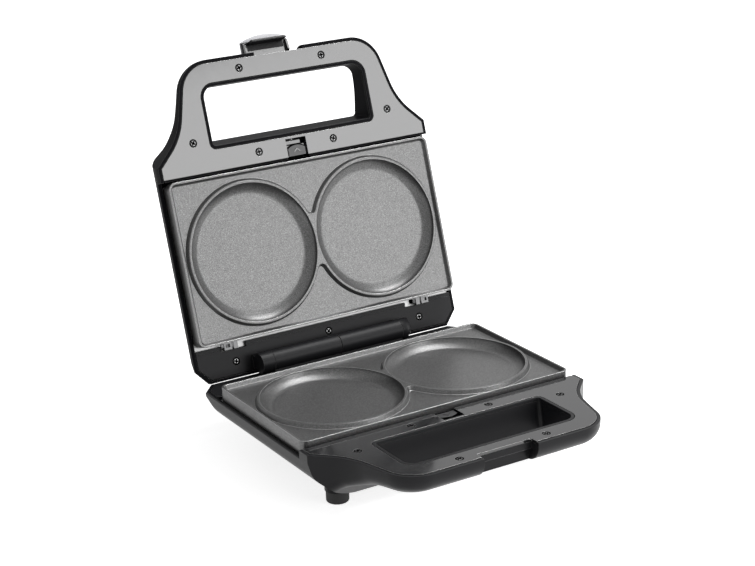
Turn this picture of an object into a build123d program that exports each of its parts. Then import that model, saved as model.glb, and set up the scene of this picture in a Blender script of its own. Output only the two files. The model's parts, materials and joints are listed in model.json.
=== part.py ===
"""Breakfast sandwich maker: two hinged halves, each with a twin-pan plate and a loop handle.

Each half is drawn lying flat: the hinge axis is the X axis, the front is towards -Y and the
two plates meet in the plane Z = 0, so the base lies below that plane. A place is given by x,
by its distance forward of the hinge axis and by z. The lid is the mirror image of the base,
swung back about the hinge axis. Millimetres throughout.
"""

import os
from math import hypot

from build123d import *

os.makedirs("parts", exist_ok=True)

# Whole object
OPEN_ANGLE = 107.5          # how far the lid stands open
CLEAR = 0.3                 # gap between pieces that move past each other
FIT = 0.05                  # radial clearance of a pin in its bore

# Housing of one half
HALF_WIDTH = 116.0
REAR = -7.6
CHAMFER_SIDE, CHAMFER_REAR = 12.0, 10.5
SHOULDER = 157.2            # where the sides give way to the slanting shoulders
NECK = (95.5, 177.6)        # where a shoulder runs into the side of the handle
NECK_ROUND = 50.0
HANDLE_HALF = 82.1
HANDLE_FRONT = 230.4
HANDLE_CORNER = 25.6
RIM = -10.0                 # top of the side and rear walls
RIM_ROUND = 1.2
DECK = -4.4                 # top of the handle's rim
DECK_REAR = 146.0
BOTTOM = -45.5
BEND = (168.0, -29.5)       # underside where the handle leaves the bowl: forward, z
GRIP = (192.0, -21.4)       # underside where the handle levels out
HANDLE_UNDER = -19.4        # underside at the handle's front
HANDLE_ROUND = 13.0         # rounding of the handle's lower edge
HEEL = -13.6                # where the rear corners start to slant in under the bowl
WALL = 2.6
BRIDGE = 1.4                # wall between the bowl and the handle

# Loop of the handle
LOOP_HALF = 68.75
LOOP_REAR, LOOP_REAR_LOW = 166.0, 170.5
LOOP_FRONT = 210.2
LOOP_LIP = 2.2
LOOP_GAP = 0.6              # gap between the lip and the trim
LOOP_WALL = 3.6             # housing left in front of the lid's loop

# Trim frame
TRIM_TOP = -4.0
TRIM = 2.2
TRIM_INSET = 2.8
TRIM_REAR = 147.6
WINDOW_HALF, WINDOW_FRONT = 8.7, 161.5
TRIM_SCREWS = [(35.6, 220.5), (84.5, 170.8), (32.4, 155.9)]

# Plate
PLATE_HALF = 112.2
PLATE_REAR, PLATE_FRONT = 20.8, 144.7
PLATE_CORNER = 5.5
LIP_TOP = -0.25
LIP = 1.3
FIELD = -3.3
SKIRT = -12.5
PLATE_WALL = 2.6
PAN_X, PAN_FORWARD = 53.0, 82.7
PAN_RADIUS = 52.3
RIDGE_RADIUS = 54.0
PAN_FLOOR = -7.2

# Rear cover and hinge barrel
COVER_REAR, COVER_FRONT = -4.4, 18.4
COVER_HALF = 112.6
COVER = 2.2
COVER_SCREWS = [(81.5, 5.0), (0.0, 10.8)]
BARREL = 7.75
PIN = 3.0
CAP_KNUCKLE = (-68.0, -58.0)
SLEEVES = [(-57.6, -0.35), (0.35, 55.0)]
END_KNUCKLE = (55.4, 71.0)
BUSH = (-62.6, -45.6)
LEAD_HOLE = -64.8           # x of the hole down which the lead leaves the barrel
CLIP_X, CLIP_WIDTH = 84.9, 11.3
CLIP_NOTCH = (70.9, 91.9)   # notch in the cover round each clip

# Reflector, element and what hangs below them
FLANGE = -12.7
SHEET = 0.6
TRAY_FLOOR = -23.0
ELEMENT = 3.25              # radius of the sheathed element
ELEMENT_Z = -13.6
POSTS = [(106.3, 32.0), (106.3, 133.5)]
TRAY_HALF, TRAY_REAR, TRAY_FRONT = 99.0, 25.5, 139.5
TERMINAL_X, TERMINAL_FORWARD = 11.0, 37.0
THERMOSTAT_FORWARD = 49.0

# Feet
FOOT_RADIUS, FOOT_HEIGHT = 8.2, 9.0
FEET = [(82.5, 137.0), (66.0, 17.5)]

# Latch, drawn closed
LATCH_PIVOT = (218.0, 9.5)  # forward, z
LATCH_SWING = 102.0
LATCH_HALF = 20.0
LID_NOTCH, BASE_NOTCH = 20.7, 22.0
CATCH_BAR = 222.0           # front face of the bar that the hook holds
CATCH_BAR_UNDER = -12.0
HOOK_WALL = 219.0           # front face of the wall behind the hook

# Catch that frees the plate
CATCH_TRAVEL = 3.0
CATCH_TOP = -6.6
CATCH_THICK = 2.4
CATCH_FRONT = 159.8
CATCH_LEG = (154.6, 157.2)  # rear and front of the leg that the spring pushes

# Cord inlet, vents and lamps
INLET = (-60.0, -25.0)      # x, z
VENT_COUNT, VENT_PITCH = 9, 10.0
LAMPS = (-11.0, 11.0)
LAMP_FORWARD = 128.0
LAMP_BOARD = BOTTOM + WALL + 6.6


# ---------------------------------------------------------------- helpers

def plan(points):
    """Points in plan, turned from forward distances to Y."""
    return [(x, -forward) for x, forward in points]


def both_sides(places):
    """Places on the right, and the same places on the left."""
    return places + [(-x, forward) for x, forward in places if x]


def slab(low_x, high_x, rear, front, low_z, high_z):
    """A block between two corners."""
    size = (high_x - low_x, front - rear, high_z - low_z)
    middle = ((high_x + low_x) / 2, -(front + rear) / 2, (high_z + low_z) / 2)
    return Pos(*middle) * Box(*size)


def disc(x, forward, low_z, high_z, radius):
    """An upright cylinder."""
    return Pos(x, -forward, (low_z + high_z) / 2) * Cylinder(radius, high_z - low_z)


def rod(low_x, high_x, forward, z, radius):
    """A cylinder along X."""
    return Pos((low_x + high_x) / 2, -forward, z) * Rot(Y=90) * Cylinder(radius, high_x - low_x)


def rounded(half, rear, front, z, rear_radius, front_radius):
    """A rounded rectangle in plan, with its own radii at the rear and at the front."""
    face = Pos(0, -(rear + front) / 2, z) * Rectangle(2 * half, front - rear)
    face = fillet(face.vertices().group_by(Axis.Y)[0], front_radius)
    return fillet(face.vertices().group_by(Axis.Y)[-1], rear_radius)


def side_profile(points, low_x, high_x):
    """A polygon of (forward, z) corners, drawn out across the object."""
    face = make_face(Polyline([(0, -forward, z) for forward, z in points], close=True))
    return Pos(low_x, 0, 0) * extrude(face, amount=high_x - low_x, dir=(1, 0, 0))


# ---------------------------------------------------------------- housing

def outline(inset=0.0):
    """Plan of a half: a body with chamfered rear corners, and a handle with swept shoulders."""
    body = Polyline(plan([
        (0, REAR),
        (HALF_WIDTH - CHAMFER_REAR, REAR),
        (HALF_WIDTH, REAR + CHAMFER_SIDE),
        (HALF_WIDTH, SHOULDER),
    ]))
    handle = FilletPolyline(
        plan([(HALF_WIDTH, SHOULDER), NECK, (HANDLE_HALF, HANDLE_FRONT), (0, HANDLE_FRONT)]),
        radius=[NECK_ROUND, HANDLE_CORNER],
    )
    right = Curve() + [body, handle]
    face = make_face(right + mirror(right, Plane.YZ))
    return offset(face, amount=-inset) if inset else face


def side_section(inset=0.0):
    """The half seen from its side: a bowl with a rounded heel, and a handle that thins forwards."""
    under = FilletPolyline(
        (-REAR, RIM), (-REAR - 1.8, -23.5), (-20.0, BOTTOM), (-150.0, BOTTOM),
        (-BEND[0], BEND[1]), (-GRIP[0], GRIP[1]), (-HANDLE_FRONT, HANDLE_UNDER),
        radius=[12, 50, 7, 12, 60],
    )
    top = Polyline((-HANDLE_FRONT, HANDLE_UNDER), (-HANDLE_FRONT, 5), (-REAR, 5), (-REAR, RIM))
    face = make_face([*under.edges(), *top.edges()])
    return Plane.YZ * (offset(face, amount=-inset) if inset else face)


def cross_section(inset=0.0):
    """The half seen from the front: drafted walls that curve in to a flat bottom."""
    bilge = FilletPolyline(
        (HALF_WIDTH, RIM), (HALF_WIDTH - 2.6, -21.8), (84.3, BOTTOM), (0, BOTTOM),
        radius=[12, 55],
    )
    right = Curve() + [Polyline((0, 5), (HALF_WIDTH, 5), (HALF_WIDTH, RIM)), bilge]
    face = make_face(right + mirror(right, Plane.YZ))
    return Plane.XZ * (offset(face, amount=-inset) if inset else face)


def form(inset=0.0):
    """The body that the three views share, running up past the rim, with its edges eased."""
    upright = extrude(Pos(0, 0, 5) * outline(inset), amount=-55)
    along = extrude(side_section(inset), amount=HALF_WIDTH + 5, both=True)
    across = extrude(cross_section(inset), amount=HANDLE_FRONT + 10, both=True)
    body = upright & along & across
    front = inset - HANDLE_FRONT
    lower = body.edges().filter_by_position(Axis.Y, front - 0.01, front + 0.01).group_by(Axis.Z)[0]
    body = fillet(lower, HANDLE_ROUND - inset)
    for side in (-1, 1):
        middle = (side * (HALF_WIDTH - CHAMFER_REAR / 2), -REAR - CHAMFER_SIDE / 2, HEEL)
        across_corner = (side * CHAMFER_SIDE, CHAMFER_REAR)
        slant = Plane(origin=middle, z_dir=(*across_corner, -hypot(*across_corner)))
        body -= slant * Pos(0, 0, 60 - inset) * Box(120, 120, 120)
    return body


def loop(grow, top, bottom):
    """The hole of the handle, its rear wall leaning forwards as it goes down."""
    lean = (LOOP_REAR_LOW - LOOP_REAR) / (TRIM_TOP + 28)

    def ring(z):
        rear = LOOP_REAR + lean * (TRIM_TOP - z)
        return rounded(LOOP_HALF + grow, rear - grow, LOOP_FRONT + grow, z, 2.7 + grow, 8.5 + grow)

    return loft([ring(top), ring(bottom)])


def above_rim():
    """What is cut away above the walls and the handle."""
    over_all = slab(-130, 130, REAR - 5, HANDLE_FRONT + 5, DECK, 20)
    over_bowl = slab(-130, 130, REAR - 5, DECK_REAR, RIM, 20)
    return over_all + over_bowl


def soft_rim(body):
    """Rounds the outer edge of the side and rear walls."""
    edges = [edge for edge in body.edges().filter_by_position(Axis.Z, RIM - 0.01, RIM + 0.01)
             if edge.center().Y > -DECK_REAR + 1]
    return fillet(edges, RIM_ROUND)


def posts():
    """Screw posts under the trim, under the rear cover and under the reflector."""
    spots = [(place, TRIM_TOP - TRIM) for place in both_sides(TRIM_SCREWS)]
    spots += [(place, RIM - COVER) for place in both_sides(COVER_SCREWS)]
    spots += [(place, FLANGE - SHEET) for place in both_sides(POSTS)]
    return [(x, forward, top) for (x, forward), top in spots]


def shell():
    """The moulded shell of either half, with its handle loop, screw posts and ledges."""
    outer = form()
    solid = soft_rim(outer - above_rim())
    body = solid - form(WALL)
    body += loop(LOOP_LIP, TRIM_TOP, -40) & solid
    body += slab(-112.5, 112.5, DECK_REAR, DECK_REAR + BRIDGE, -30, DECK) & solid
    body += [disc(x, forward, -46, top, 3.4) & solid for x, forward, top in posts()]
    body += slab(-12, 12, DECK_REAR, 164, -10.9, CATCH_TOP - CATCH_THICK - CLEAR)
    recess = extrude(Pos(0, 0, TRIM_TOP + 1) * outline(TRIM_INSET - 0.35), amount=-TRIM - 1)
    body -= (recess & slab(-130, 130, DECK_REAR + BRIDGE, 240, -20, 0)) - loop(LOOP_LIP, 1, -12)
    body += loop(LOOP_LIP, TRIM_TOP, -12)
    body -= loop(0, 1, -40) + loop(0.5, -5.8, -6.4)
    body -= [disc(x, forward, top - 9, 0, 1.55) for x, forward, top in posts()]
    body -= slab(-9.5, 9.5, 140, DECK_REAR + BRIDGE, CATCH_TOP - CATCH_THICK - CLEAR, 0)
    body -= slab(-4, 4, CATCH_LEG[0] - CLEAR, CATCH_LEG[1] + CATCH_TRAVEL + 3.8, -12, -6)
    return body


def base_housing():
    """Lower shell: foot pads, vents, cord inlet, and the bar that the latch hooks under."""
    body = shell()
    outer = form()
    for x, forward in both_sides(FEET):
        body += disc(x, forward, BOTTOM, -38, FOOT_RADIUS + 0.8) - form(WALL)
        body -= disc(x, forward, BOTTOM - 1, -38, 1.55)
    cheeks = slab(-BASE_NOTCH - 2, BASE_NOTCH + 2, LOOP_FRONT, 240, -40, TRIM_TOP - TRIM)
    body += cheeks & outer - loop(0, 1, -40)
    body -= slab(-BASE_NOTCH, BASE_NOTCH, CATCH_BAR, 240, -40, 0)
    body -= slab(-BASE_NOTCH, BASE_NOTCH, HOOK_WALL, 240, -40, CATCH_BAR_UNDER)
    body -= slab(-BASE_NOTCH, BASE_NOTCH, LOOP_FRONT + LOOP_LIP, HOOK_WALL - WALL,
                 HANDLE_UNDER + WALL, 0)
    bevel = side_profile([(CATCH_BAR - 1.2, CATCH_BAR_UNDER), (CATCH_BAR + 1, CATCH_BAR_UNDER),
                          (CATCH_BAR + 1, CATCH_BAR_UNDER + 2.6)], -BASE_NOTCH, BASE_NOTCH)
    body -= bevel
    x, z = INLET
    collar = Pos(x, 3, z) * Rot(X=90) * Cylinder(8.5, 12)
    body += collar - form(WALL)
    body -= Pos(x, 3, z) * Rot(X=90) * Cylinder(6.05, 30)
    for i in range(VENT_COUNT):
        middle = (i - (VENT_COUNT - 1) / 2) * VENT_PITCH
        body -= slab(middle - 1.5, middle + 1.5, 58, 106, -50, -40)
    return body


def lid_housing():
    """Upper shell, drawn as a base: the latch's pocket and the two lamp holes."""
    body = shell()
    outer = form()
    cheeks = slab(-LID_NOTCH - 2.4, LID_NOTCH + 2.4, LOOP_FRONT, 240, -40, TRIM_TOP - TRIM)
    body += cheeks & outer - loop(0, 1, -40)
    pocket = slab(-LID_NOTCH, LID_NOTCH, LOOP_FRONT + LOOP_WALL, 240, -40, TRIM_TOP - TRIM)
    body -= pocket
    body -= slab(-LID_NOTCH, LID_NOTCH, HANDLE_FRONT - TRIM_INSET - 0.2, 240, -40, 0)
    forward, z = LATCH_PIVOT
    body -= rod(-LID_NOTCH - 1.8, LID_NOTCH + 1.8, forward, -z, 1.5 + FIT / 2)
    for x in LAMPS:
        body += disc(x, LAMP_FORWARD, -44, LAMP_BOARD, 5.4) - disc(x, LAMP_FORWARD, -44, -30, 4.4)
        body -= disc(x, LAMP_FORWARD, -50, -40, 3.2)
    return body


# ---------------------------------------------------------------- trim

def screw_seats(body, places, top):
    """Counterbored screw holes through a plate."""
    for x, forward in places:
        body -= disc(x, forward, top - 10, top + 1, 1.8)
        body -= disc(x, forward, top - 1.0, top + 1, 3.15)
    return body


def trim(notched):
    """Flush frame round the handle loop; the base's is notched where the latch comes down."""
    body = extrude(Pos(0, 0, TRIM_TOP) * outline(TRIM_INSET), amount=-TRIM)
    body -= slab(-130, 130, REAR - 5, TRIM_REAR, -20, 0)
    body -= loop(LOOP_LIP + LOOP_GAP, 0, -12)
    body -= slab(-WINDOW_HALF, WINDOW_HALF, TRIM_REAR - 5, WINDOW_FRONT, -20, 0)
    if notched:
        half = BASE_NOTCH + 0.5
        body -= slab(-half, half, CATCH_BAR - 0.5, 240, -20, 0)
    return screw_seats(body, both_sides(TRIM_SCREWS), TRIM_TOP)


# ---------------------------------------------------------------- plate

def bowl_of_revolution(points, bulge):
    """A dish turned about its own axis: a straight top, a curved wall and a flat floor."""
    rim, knee, floor_edge, floor = points
    wall = Spline(rim, bulge, knee, floor_edge, tangents=[(-0.15, -1), (-1, 0)])
    top = Polyline((0, 3), (rim[0], 3), rim)
    under = Polyline(floor_edge, (0, floor), (0, 3))
    face = Plane.XZ * make_face([*top.edges(), wall, *under.edges()])
    return revolve(face, Axis.Z)


def pans(grow):
    """The two round pans as solids, grown by the thickness of the casting."""
    rim = PAN_RADIUS + grow
    floor = PAN_FLOOR - grow
    points = [(rim, LIP_TOP - 0.6), (rim - 5.4, floor + 0.9), (rim - 10.5, floor), floor]
    dish = bowl_of_revolution(points, (rim - 1.3, floor + 3.6))
    return [Pos(x, -PAN_FORWARD, 0) * dish for x in (-PAN_X, PAN_X)]


def ridge():
    """The raised rim round both pans, a figure of eight with filleted waists."""
    circles = [Pos(x, 0) * Circle(RIDGE_RADIUS) for x in (-PAN_X, PAN_X)]
    eight = circles[0] + circles[1]
    waists = [v for v in eight.vertices() if abs(v.X) < 1]
    eight = fillet(waists, 4)
    body = extrude(Pos(0, -PAN_FORWARD, LIP_TOP) * eight, amount=FIELD - LIP_TOP - 0.3, taper=-30)
    return fillet(body.edges().group_by(Axis.Z)[-1], 0.5)


def plate():
    """Cast cooking plate: skirt, lip, sunk field, and two ringed pans."""
    def block(inset, top, bottom, radius, taper=0.0):
        plan_face = rounded(PLATE_HALF - inset, PLATE_REAR + inset, PLATE_FRONT - inset, top,
                            radius, radius)
        return extrude(plan_face, amount=bottom - top, taper=taper)

    body = block(0, LIP_TOP, SKIRT, PLATE_CORNER)
    body -= block(PLATE_WALL, FIELD - 3.0, SKIRT - 1, PLATE_CORNER - PLATE_WALL)
    body += [dish - block(-5, 20, FIELD - 1, 4) for dish in pans(3.0)]
    sunk = block(LIP, LIP_TOP + 0.01, FIELD, PLATE_CORNER - LIP, 30)
    sunk = fillet(sunk.edges().group_by(Axis.Z)[0], 0.8)
    body -= sunk - ridge()
    body -= pans(0.0)
    body -= slab(-6.2, 6.2, 140, 150, -9.8, -6.2)
    for x in (-CLIP_X, CLIP_X):
        body -= slab(x - CLIP_WIDTH / 2 - 0.6, x + CLIP_WIDTH / 2 + 0.6, 15, 25, -8.2, -5.6)
    return body


def plate_clips():
    """Two spring-steel clips whose fingers hold the rear skirt of the plate."""
    strip = [(15.0, FLANGE), (19.6, FLANGE), (19.6, FLANGE + 0.8), (15.8, FLANGE + 0.8),
             (15.8, -7.3), (22.8, -7.3), (22.8, -6.5), (15.0, -6.5)]
    clip = side_profile(strip, CLIP_X - CLIP_WIDTH / 2, CLIP_X + CLIP_WIDTH / 2)
    clip -= slab(CLIP_X - 2.2, CLIP_X - 0.8, 14, 25, FLANGE + 1.6, 0)
    clip -= slab(CLIP_X + 0.8, CLIP_X + 4.2, 16.8, 19.4, -8, 0)
    return [clip, mirror(clip, Plane.YZ)]


# ---------------------------------------------------------------- heat

def reflector():
    """Bright sheet tray under the plate, whose flange shows as a strip behind it."""
    def tray(inset, top):
        face = rounded(TRAY_HALF - inset, TRAY_REAR + inset, TRAY_FRONT - inset, top, 12, 12)
        return extrude(face, amount=TRAY_FLOOR - top + inset, taper=12)

    body = extrude(rounded(112.0, 14.6, 143.5, FLANGE, 3, 3), amount=-SHEET)
    body = body + tray(0, FLANGE - SHEET / 2) - tray(SHEET, FLANGE + 0.1)
    for x, forward in both_sides(POSTS):
        body -= disc(x, forward, -20, -10, 1.8)
    for x in (-TERMINAL_X, TERMINAL_X):
        body -= disc(x, TERMINAL_FORWARD, -30, -20, ELEMENT + 0.6)
    clip_side = CLIP_X - CLIP_WIDTH / 2
    slot = slab(clip_side - 2.8, clip_side, 16.5, 22, -20, -10)
    body -= slot + mirror(slot, Plane.YZ)
    return body - disc(0, THERMOSTAT_FORWARD, -30, -20, 8.6)


def heating_element():
    """Sheathed element bent to a loop under both pans, with its cold ends turned down."""
    x, forward = TERMINAL_X, TERMINAL_FORWARD
    loop_path = FilletPolyline(
        [(px, -py, ELEMENT_Z) for px, py in
         [(-x, forward), (-86, forward), (-86, 127), (86, 127), (86, forward), (x, forward)]],
        radius=22,
    )
    start = Plane(origin=loop_path @ 0, z_dir=loop_path % 0)
    body = sweep(start * Circle(ELEMENT), path=loop_path)
    for side in (-x, x):
        body += Pos(side, -forward, ELEMENT_Z) * Sphere(ELEMENT)
        body += disc(side, forward, -31, ELEMENT_Z, ELEMENT)
        body += disc(side, forward, -36, -31, 1.2)
    return body


def thermostat():
    """Snap-disc thermostat pressed up against the plate between the pans."""
    cup_top = FIELD - 3.2
    forward = THERMOSTAT_FORWARD
    body = disc(0, forward, -26, cup_top, 8.0) + disc(0, forward, -26, -24, 10.5)
    for x in (-5.6, 5.6):
        body += slab(x - 0.4, x + 0.4, forward - 3, forward + 3, -33, -26)
    return body


def thermal_fuse():
    """Axial fuse that hangs in its leads under the reflector."""
    body = rod(30, 42, 96, -29, 2.2)
    return body + rod(20, 30, 96, -29, 0.6) + rod(42, 52, 96, -29, 0.6)


def terminal_block():
    """Three-pole block screwed to the floor of the base."""
    x, forward = -52.0, 52.0
    body = slab(x - 16, x + 16, forward - 8, forward + 8, BOTTOM + WALL, BOTTOM + WALL + 6)
    body += slab(x - 16, x + 16, forward - 4, forward + 4, BOTTOM + WALL, BOTTOM + WALL + 12)
    for pole in (-10, 0, 10):
        body -= Pos(x + pole, -forward, BOTTOM + WALL + 8) * Rot(X=90) * Cylinder(1.8, 20)
        body -= disc(x + pole, forward, BOTTOM + WALL + 9, 0, 1.5)
    return body


def wires(routes, radius=1.1):
    """Insulated leads, each along its own bent route of (x, forward, z) points."""
    leads = []
    for route in routes:
        path = FilletPolyline([(x, -forward, z) for x, forward, z in route], radius=4)
        start = Plane(origin=path @ 0, z_dir=path % 0)
        leads.append(sweep(start * Circle(radius), path=path))
    return leads


def cord_inlet():
    """Bush in the rear wall that the supply lead comes in through."""
    x, z = INLET
    bush = Pos(x, 2.5, z) * Rot(X=90) * Cylinder(6.0, 15)
    bush += Pos(x, 10.4, z) * Rot(X=90) * Cylinder(8.0, 2.4)
    return bush - Pos(x, 3, z) * Rot(X=90) * Cylinder(3.4, 40)


# ---------------------------------------------------------------- hinge

def knuckle(low, high):
    """A length of the hinge barrel on the pedestal that ties it to its cover."""
    body = rod(low, high, 0, 0, BARREL)
    return body + side_profile([(-5.6, -5.3), (5.6, -5.3), (7.4, RIM), (-4.2, RIM)], low, high)


def rear_cover():
    """Flat cover behind the plate, with seats for its screws and notches for the clips."""
    right = plan([(0, COVER_REAR), (COVER_HALF - 8.6, COVER_REAR), (COVER_HALF, 5.0),
                  (COVER_HALF, COVER_FRONT), (0, COVER_FRONT)])
    edge = Polyline(right)
    face = make_face(edge + mirror(edge, Plane.YZ))
    body = extrude(Pos(0, 0, RIM) * face, amount=-COVER)
    notch = slab(*CLIP_NOTCH, 14.4, 20, -20, 0)
    groove = slab(-120, 120, COVER_FRONT - 2.8, COVER_FRONT - 2.2, RIM - 0.5, 0)
    body -= notch + mirror(notch, Plane.YZ) + groove
    return screw_seats(body, both_sides(COVER_SCREWS), RIM)


def base_hinge_cover():
    """Rear cover of the base, carrying the two long sleeves of the hinge barrel."""
    body = rear_cover()
    for low, high in SLEEVES:
        body += knuckle(low, high)
    body -= rod(SLEEVES[0][0] - 0.1, SLEEVES[1][1] + 0.1, 0, 0, PIN + FIT)
    body -= rod(SLEEVES[0][0] + 14, SLEEVES[1][1] - 12, 0, 0, 5.2)
    return body - disc(-22, 0, -20, -4, 3.0)


def fairing_section(x, half, flank, crown):
    """A slice of the end fairing: a crown on two flanks that stand in the cover."""
    foot = RIM - COVER
    sides = Polyline((half, flank), (4.2, foot), (-7.4, foot), (-half, flank))
    top = ThreePointArc((-half, flank), (0, crown), (half, flank))
    at_x = Plane(origin=(x, 0, 0), x_dir=(0, 1, 0), z_dir=(1, 0, 0))
    return at_x * make_face([*sides.edges(), top])


def lid_hinge_cover():
    """Rear cover of the lid, drawn as a base: the closed end cap and the end fairing."""
    low, high = END_KNUCKLE
    body = rear_cover() + knuckle(*CAP_KNUCKLE)
    body += loft([
        fairing_section(low, BARREL, 0, BARREL),
        fairing_section(low + 6, 7.3, -1.6, 5.4),
        fairing_section(high, 6.0, RIM - 0.9, RIM - 0.2),
    ])
    body -= rod(CAP_KNUCKLE[0] + 1.5, CAP_KNUCKLE[1] + 1, 0, 0, PIN + FIT / 2)
    body -= rod(low - 1, low + 5.3, 0, 0, PIN + FIT / 2)
    return body - disc(LEAD_HOLE, 0, -20, 0, 1.5)


def hinge_bush():
    """Hollow pin of the left joint; the lead to the lid runs through it."""
    return rod(*BUSH, 0, 0, PIN) - rod(-80, -30, 0, 0, 1.9)


def hinge_pin():
    """Solid pin of the right joint."""
    return rod(SLEEVES[1][1] - 10, END_KNUCKLE[0] + 5, 0, 0, PIN)


def hinge_lead():
    """Sleeved lead that crosses from the base to the lid inside the barrel."""
    return wires([[(-63, 0, 0), (-22, 0, 0), (-22, 0, -14), (-22, 12, -24)]], 1.7)


# ---------------------------------------------------------------- plate catch

def catch():
    """Slide in the trim's window: a thumb pad with an arrow, and a tongue into the plate."""
    low = CATCH_TOP - CATCH_THICK
    body = slab(-7.8, 7.8, 148.0, CATCH_FRONT, low, CATCH_TOP)
    body += slab(-11, 11, 149.5, CATCH_FRONT, low, CATCH_TOP - 0.4)
    body += slab(-5, 5, 142.6, 149, low, CATCH_TOP - 0.8)
    body += slab(-3, 3, *CATCH_LEG, -15.4, low + 1)
    pad_edge = ThreePointArc((-7.3, -153.8), (0, -156.1), (7.3, -153.8))
    pad_side = Polyline((7.3, -153.8), (7.3, -148.2), (-7.3, -148.2), (-7.3, -153.8))
    pad = make_face([pad_edge, *pad_side.edges()])
    body += extrude(Pos(0, 0, CATCH_TOP) * pad, amount=1.5)
    arrow = make_face(Polyline(plan([(0, 154.0), (3.2, 151.0), (1.9, 151.0), (0, 152.7),
                                     (-1.9, 151.0), (-3.2, 151.0)]), close=True))
    body += extrude(Pos(0, 0, CATCH_TOP + 1.5) * arrow, amount=0.35)
    body -= slab(-8, 8, 156.4, 157.3, CATCH_TOP - 1.0, 0)
    body -= slab(4.6, 9, 157.3, CATCH_FRONT + 1, low - 1, 0)
    return body


def coil(turns, radius, wire, low, high, z):
    """A compression spring along the direction of the catch."""
    pitch = (high - low - 2 * wire) / turns
    path = Helix(pitch=pitch, height=pitch * turns, radius=radius)
    start = Plane(origin=path @ 0, z_dir=path % 0)
    body = sweep(start * Circle(wire), path=path, is_frenet=True)
    return Pos(0, -low - wire, z) * Rot(X=90) * body


def catch_spring():
    """Spring between the catch and the wall of the handle loop."""
    return coil(4, 2.0, 0.35, CATCH_LEG[1] + 0.1, 165.2, -12.7)


# ---------------------------------------------------------------- latch

def latch_lever():
    """Lever: barrel on the pin, arm, and the wall whose hook grips the base's bar."""
    forward, z = LATCH_PIVOT
    half = LATCH_HALF - 1.2
    arm = side_profile([(forward, z + 2.6), (230.4, z + 0.7), (230.4, 6.8), (forward, 6.8)],
                       -half, half)
    wall = side_profile([(229.4, z + 0.8), (231.0, z + 0.8), (231.5, 2), (231.2, -8),
                         (230.2, -15.0), (228.4, -15.0), (229.2, -8), (229.5, 2)], -half, half)
    hook = side_profile([(229.0, -12.3), (219.6, -12.3), (219.6, -13.2), (221.2, -14.6),
                         (229.0, -14.6)], -14.5, 14.5)
    body = rod(-half, half, forward, z, 2.9) + arm + wall + hook
    for side in (-half, half - 1.6):
        body += side_profile([(230.4, -2), (226.4, -5), (226.4, -12), (229.4, -14.9)],
                             side, side + 1.6)
    return body - rod(-half - 1, half + 1, forward, z, 1.5 + FIT)


def latch_cap():
    """Bright skin of the lever, with a crowned lip that a finger lifts."""
    outer = [(231.2, LATCH_PIVOT[1] + 0.9), (232.3, 6), (232.9, -1), (232.5, -9), (231.0, -15.5)]
    inner = [(230.4, -15.2), (231.4, -8), (231.7, 2), (231.2, LATCH_PIVOT[1] + 0.9)]
    skin = side_profile(outer + inner, -LATCH_HALF, LATCH_HALF)
    crown = Plane.XZ * make_face([
        Polyline((LATCH_HALF, -15.1), (LATCH_HALF, -15.8)).edges()[0],
        ThreePointArc((LATCH_HALF, -15.8), (0, -19.6), (-LATCH_HALF, -15.8)),
        Line((-LATCH_HALF, -15.8), (-LATCH_HALF, -15.1)),
        Line((-LATCH_HALF, -15.1), (LATCH_HALF, -15.1)),
    ])
    lip = extrude(crown, amount=260)
    band = side_profile([(228.2, -15.1), (231.1, -15.1), (230.3, -20.5), (227.2, -20.5)],
                        -LATCH_HALF, LATCH_HALF)
    return skin + (lip & band)


def latch_pin():
    """Steel pin of the latch."""
    forward, z = LATCH_PIVOT
    return rod(-LID_NOTCH - 1.7, LID_NOTCH + 1.7, forward, z, 1.5)


# ---------------------------------------------------------------- small pieces

def screw(x, forward, seat, head=2.75, length=8.5):
    """Cross-recessed screw whose head rests on a seat."""
    body = disc(x, forward, seat, seat + 1.3, head) + disc(x, forward, seat - length, seat, 1.4)
    cross = slab(x - 1.7, x + 1.7, forward - 0.35, forward + 0.35, seat + 0.5, seat + 2)
    cross += slab(x - 0.35, x + 0.35, forward - 1.7, forward + 1.7, seat + 0.5, seat + 2)
    return body - cross


def screws(places, seat):
    """A set of like screws."""
    return [screw(x, forward, seat) for x, forward in both_sides(places)]


def rubber_feet():
    """Four stub feet, rounded at the ground and hollow for their screws."""
    feet = []
    for x, forward in both_sides(FEET):
        foot = disc(x, forward, BOTTOM - FOOT_HEIGHT, BOTTOM, FOOT_RADIUS)
        foot = fillet(foot.edges().group_by(Axis.Z)[0], 1.5)
        foot -= disc(x, forward, BOTTOM - FOOT_HEIGHT - 1, BOTTOM - 4, 3.6)
        feet.append(foot - disc(x, forward, BOTTOM - 9, BOTTOM + 1, 1.8))
    return feet


def foot_screws():
    """Screws up through the feet into the housing."""
    return [mirror(screw(x, forward, -(BOTTOM - 4), length=7), Plane.XY)
            for x, forward in both_sides(FEET)]


def lens(x):
    """Domed lamp lens held from inside by its flange."""
    body = disc(x, LAMP_FORWARD, BOTTOM - 0.8, BOTTOM + WALL, 3.1)
    body = fillet(body.edges().group_by(Axis.Z)[0], 0.7)
    return body + disc(x, LAMP_FORWARD, BOTTOM + WALL, BOTTOM + WALL + 1.4, 4.2)


def lamp_board():
    """Small board with a neon lamp under each lens."""
    body = slab(-19, 19, LAMP_FORWARD - 7, LAMP_FORWARD + 7, LAMP_BOARD, LAMP_BOARD + 1.4)
    for x in LAMPS:
        body += disc(x, LAMP_FORWARD, LAMP_BOARD - 4, LAMP_BOARD, 2.0)
    return body


# ---------------------------------------------------------------- assembly

def as_lid(piece):
    """Turns a piece drawn as a base into the lid's, closed."""
    return mirror(piece, Plane.XY)


def opened(piece):
    """Swings a piece of the closed lid back about the hinge axis."""
    return Rot(X=-OPEN_ANGLE) * piece


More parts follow.
